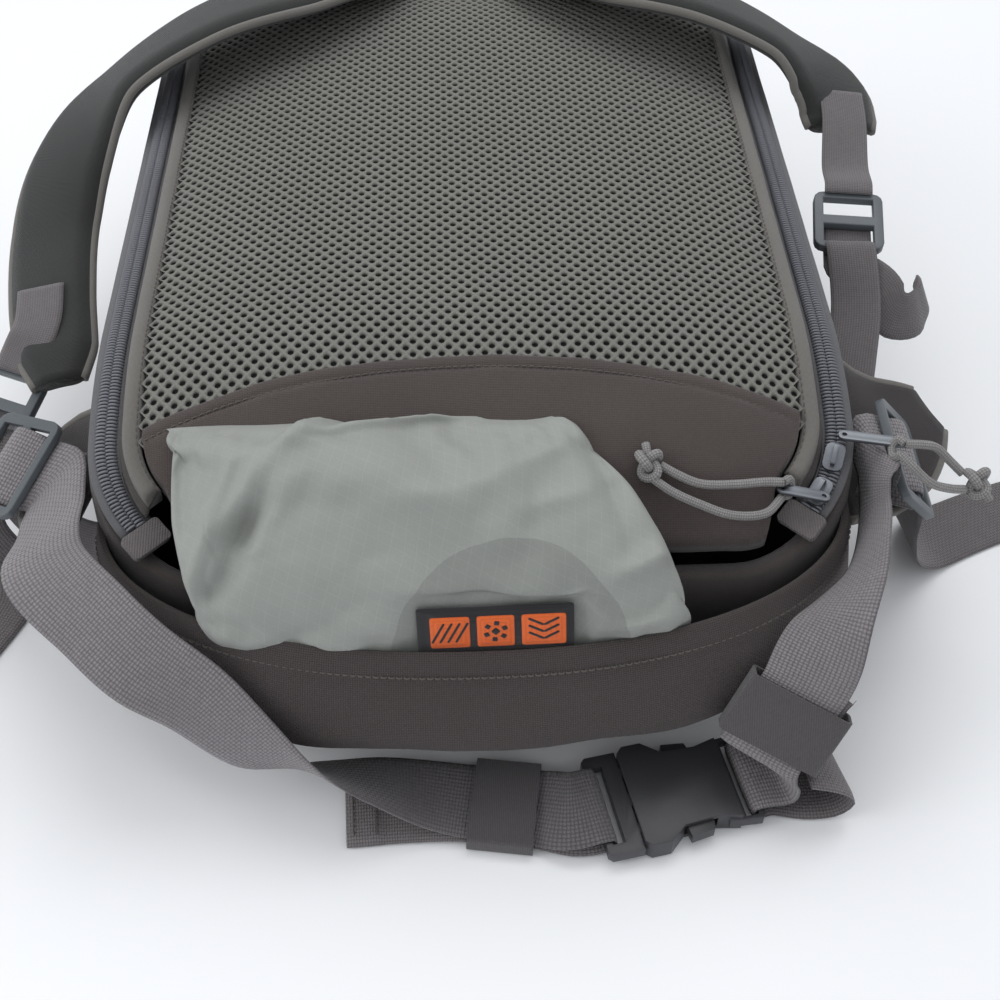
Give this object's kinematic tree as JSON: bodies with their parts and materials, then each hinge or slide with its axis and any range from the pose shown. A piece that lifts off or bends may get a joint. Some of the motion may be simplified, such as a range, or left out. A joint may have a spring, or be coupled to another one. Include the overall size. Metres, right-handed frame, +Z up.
{
  "type": "camera backpack",
  "caption": "Camera backpack lying on its front, back panel up, with a rear zip all round, a stowed rain cover in its pocket, and waist belt fastened.",
  "frame": {"origin": "on the resting patch of the front, which lies on the floor, under the middle of the back panel's crest", "axes": "+Z up out of the back panel, -Y towards the bottom end with the rain cover pocket, +Y towards the top end with the haul loop"},
  "size_m": [0.6484, 0.568, 0.1899],
  "materials": {
    "cordura": "coarse matt woven nylon",
    "spacer_mesh": "matt spacer mesh with round holes",
    "binding_tape": "matt woven tape",
    "zip_coil": "nylon coil on woven tape",
    "cover_cloth": "thin ripstop with a slight sheen",
    "label_weave": "woven label",
    "webbing": "woven nylon webbing",
    "strap_padding": "padded strap, dark cloth face",
    "hard_plastic": "moulded acetal",
    "buckle_plastic": "moulded acetal, dark",
    "pull_metal": "worn painted metal",
    "cord_braid": "braided cord",
    "elastic": "ribbed elastic band"
  },
  "bodies": {
    "root": {"body_shell": "cordura", "back_panel": "spacer_mesh", "lumbar_yoke": "cordura", "panel_binding": "binding_tape", "zip_chain": "zip_coil", "rain_pocket": "cordura", "cover_label": "label_weave", "rain_cover": "cover_cloth", "belt_webbing_left": "webbing", "belt_end_left": "webbing", "belt_end_right": "webbing", "belt_tail_left": "webbing", "belt_tail_right": "webbing", "belt_slider_left": "hard_plastic", "belt_slider_right": "hard_plastic", "side_wing_left": "cordura", "wing_anchor_left": "webbing", "side_wing_right": "cordura", "wing_anchor_right": "webbing", "belt_keeper_left": "elastic", "belt_keeper_right": "elastic", "buckle_socket": "buckle_plastic", "buckle_prong": "buckle_plastic", "shoulder_strap_left": "strap_padding", "ladder_lock_left": "hard_plastic", "strap_webbing_left": "webbing", "lower_webbing_left": "webbing", "shoulder_strap_right": "strap_padding", "ladder_lock_right": "hard_plastic", "strap_webbing_right": "webbing", "lower_webbing_right": "webbing", "zip_slider_upper": "pull_metal", "zip_slider_lower": "pull_metal", "belt_webbing_right": "webbing", "zip_pull_upper": "pull_metal", "zip_pull_lower": "pull_metal", "pull_cord_upper_a": "cord_braid", "pull_cord_upper_b": "cord_braid", "pull_cord_lower_a": "cord_braid", "pull_cord_lower_b": "cord_braid", "cord_knot_upper": "cord_braid", "cord_knot_lower": "cord_braid", "zip_end_tab_left": "webbing", "zip_end_tab_right": "webbing", "haul_loop": "webbing"}
  },
  "joints": []
}
